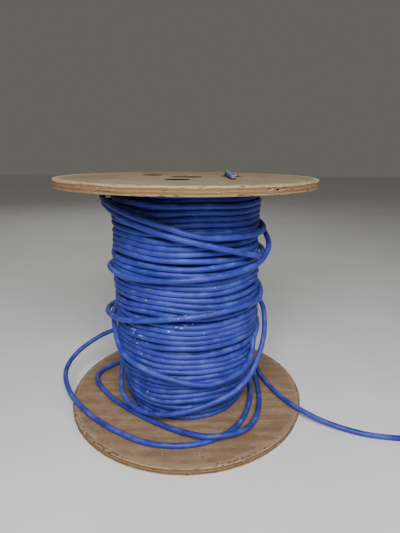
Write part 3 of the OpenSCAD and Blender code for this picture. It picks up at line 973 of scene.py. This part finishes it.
def twisted_pair(name, tip, corner, colour_name):
    """Two insulated wires twisted together, splayed a little out of the cut jacket, with bare copper tips."""
    point, across, up, out = tip
    direction = math.radians(45 + 90 * corner)
    run = np.linspace(-CUT_DEPTH, BARE_OUT * (1 - 0.12 * (corner % 3)), 24)
    splay = PAIR_R + 0.16 * np.clip(run, 0, None)
    outwards = math.cos(direction) * across + math.sin(direction) * up
    middle = point + run[:, None] * out + splay[:, None] * outwards
    parts = []
    for wire in (0, 1):
        phase = TAU * run / PAIR_LAY + math.pi * wire + corner
        line = middle + WIRE_R * (np.cos(phase)[:, None] * across + np.sin(phase)[:, None] * up)
        parts.append((*tube(line, WIRE_R, 16), wire))
        heading = line[-1] - line[-2]
        heading /= np.linalg.norm(heading)
        bare = line[-1] + np.linspace(-0.3 * MM, (0.35 + 0.2 * wire) * MM, 4)[:, None] * heading
        parts.append((*tube(bare, CORE_WIRE_R, 12), 2))
    return joined(name, parts, [insulations[colour_name], white_wire, copper])


def turned(x, y, angle):
    c, s = math.cos(angle), math.sin(angle)
    return c * x - s * y, s * x + c * y


def cross_filler(name, tip):
    """The cross-shaped spline between the pairs, turned a little along its length."""
    point, across, up, out = tip
    half, thin = 1.95 * MM, 0.2 * MM
    outline = []
    for quarter in range(4):
        for x, y in ((half - 0.1 * MM, -thin), (half, 0), (half - 0.1 * MM, thin), (thin * 1.4, thin * 1.4)):
            outline.append(turned(x, y, quarter * math.pi / 2))
    rows = []
    for run in np.linspace(-CUT_DEPTH, BARE_OUT - 0.8 * MM, FILLER_RINGS):
        for x, y in outline:
            right, rise = turned(x, y, 0.10 * run / MM)
            rows.append(point + run * out + right * across + rise * up)
    return link(name, np.array(rows), tube_faces(FILLER_RINGS, len(outline)), filler_plastic, sharp=35)


def rip_cord(name, tip):
    """A thread of three twisted yarns that curls over."""
    point, across, up, out = tip
    run = np.linspace(-CUT_DEPTH, 6 * MM, 30)
    droop = np.clip(run, 0, None) ** 2 / (26 * MM)
    middle = point + run[:, None] * out + 2.25 * MM * across + 0.5 * MM * up - droop[:, None] * up * 0.5
    parts = []
    for yarn in range(3):
        phase = TAU * run / (1.6 * MM) + TAU * yarn / 3
        line = middle + 0.12 * MM * (np.cos(phase)[:, None] * across + np.sin(phase)[:, None] * up)
        parts.append((*tube(line, 0.13 * MM, 8), 0))
    return joined(name, parts, [rip_thread])


def make_cut_end(side, line):
    """The pairs, filler and rip cord of one cut end, each standing for its CAD node."""
    tip = end_frame(line)
    pieces = []
    for corner, colour_name in enumerate(pair_tones):
        pair = twisted_pair(f"{side}_{colour_name}_twisted_pair", tip, corner, colour_name)
        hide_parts(f"{side}_{colour_name}_pair")
        pieces.append(pair)
    filler = cross_filler(f"{side}_cross_filler", tip)
    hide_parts(f"{side}_filler")
    thread = rip_cord(f"{side}_rip_thread", tip)
    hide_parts(f"{side}_rip_cord")
    return pieces + [filler, thread]


# ---- tie on the coil
TIE_ANGLE = -70
TIE_W = 12 * MM
TIE_T = 0.8 * MM
TIE_STEPS = 13


def tie_outline():
    """The band's middle line round the coil's section, overlapping on top, as (outwards, up) rows."""
    half = coil_band / 2 + 0.1 * MM + TIE_T / 2
    corner = cable_r
    points = []
    for quarter in range(6):
        lap = 1.02 * TIE_T * min(max((quarter - 3) / 1.2, 0), 1)
        middle = [(1, 1), (-1, 1), (-1, -1), (1, -1)][quarter % 4]
        reach = half + lap - corner
        for step in range(7):
            x, y = on_circle(corner, 90 * quarter + 15 * step)
            points.append((middle[0] * reach + x, middle[1] * reach + y))
    return points[:-5]


def tie_section(index):
    """The band's section at a point of its line, with soft fuzzy edges: (share across, fray, depth) rows."""
    rows = []
    for layer, steps in ((1, range(TIE_STEPS)), (-1, reversed(range(TIE_STEPS)))):
        for step in steps:
            share = step / (TIE_STEPS - 1) - 0.5
            fray = 0.12 * MM * noise.noise(Vector((index * 0.9, layer, step * 3)))
            thick = layer * TIE_T / 2 * (1 - 0.55 * (2 * abs(share)) ** 8)
            fuzz = 0.05 * MM * noise.noise(Vector((index * 1.7, step * 1.3, 5 * layer)))
            rows.append((share, fray, thick + fuzz))
    return rows


def make_tie():
    """A hook-and-loop band with slightly uneven edges."""
    outward = Vector((*on_circle(1, TIE_ANGLE), 0))
    along = Vector((-outward.y, outward.x, 0))
    centre = coil_centre + outward * coil_mid_r
    line = tie_outline()
    rings = []
    for index, (x, y) in enumerate(line):
        near = line[min(index + 1, len(line) - 1)]
        far = line[max(index - 1, 0)]
        heading = Vector((near[0] - far[0], near[1] - far[1])).normalized()
        normal = Vector((heading.y, -heading.x))
        ring = []
        for share, fray, depth in tie_section(index):
            out = x + normal.x * depth
            rise = y + normal.y * depth
            ring.append(centre + outward * out + Vector((0, 0, rise)) + along * (share * TIE_W + fray))
        rings.append(ring)
    faces = tube_faces(len(rings), len(rings[0]))
    vertices = np.array([tuple(v) for ring in rings for v in ring])
    tie = link("hook_and_loop_tie", vertices, faces, tie_material(), sharp=60)
    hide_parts("coil_tie")
    return tie


# ---- put together
flanges = make_flanges()
inner_parts = make_cut_end("inner", inner_line)
outer_parts = make_cut_end("outer", free_cable_line)
tie = make_tie()

zinc = zinc_material()
for node_name, node_material in (("core_tube", kraft_material()), ("tie_bolts", zinc), ("tee_nuts", zinc)):
    nodes[node_name].data.materials.clear()
    nodes[node_name].data.materials.append(node_material)

for piece in winding_pieces:
    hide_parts("cable_winding")
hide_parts("cable_free_run", "cable_coil", "cable_outer_end")
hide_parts("cable_inner_end")
for piece in [*winding_pieces, *flanges, free_cable, inner_cable, *inner_parts, *outer_parts, tie]:
    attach(piece, "root")


# ---- floor and light
def make_floor():
    floor = link("floor", [(-6, -6, 0), (6, -6, 0), (6, 6, 0), (-6, 6, 0)], [[0, 1, 2, 3]], floor_material())
    floor.location.z = -0.0001


def area_light(name, place, target, width, height, power):
    data = bpy.data.lights.new(name, "AREA")
    data.shape = "RECTANGLE"
    data.size = width
    data.size_y = height
    data.energy = power
    lamp = bpy.data.objects.new(name, data)
    lamp.location = place
    lamp.rotation_mode = "QUATERNION"
    lamp.rotation_quaternion = (Vector(target) - Vector(place)).to_track_quat("-Z", "Y")
    lamp.visible_camera = False
    bpy.context.scene.collection.objects.link(lamp)


def make_light():
    area_light("key", (0.0, -0.86, 0.8), (0, -0.08, 0.08), 0.7, 0.34, 15.5)
    area_light("fill", (1.2, -0.9, 0.8), (0, 0, 0.15), 0.8, 0.8, 3)
    area_light("back", (-0.5, 1.5, 1.3), (0, 0, 0.12), 1.2, 0.8, 5)
    world = bpy.data.worlds.new("studio")
    world.use_nodes = True
    background = world.node_tree.nodes["Background"]
    background.inputs["Color"].default_value = tone(172, 170, 160)
    background.inputs["Strength"].default_value = 0.32
    bpy.context.scene.world = world


make_floor()
make_light()
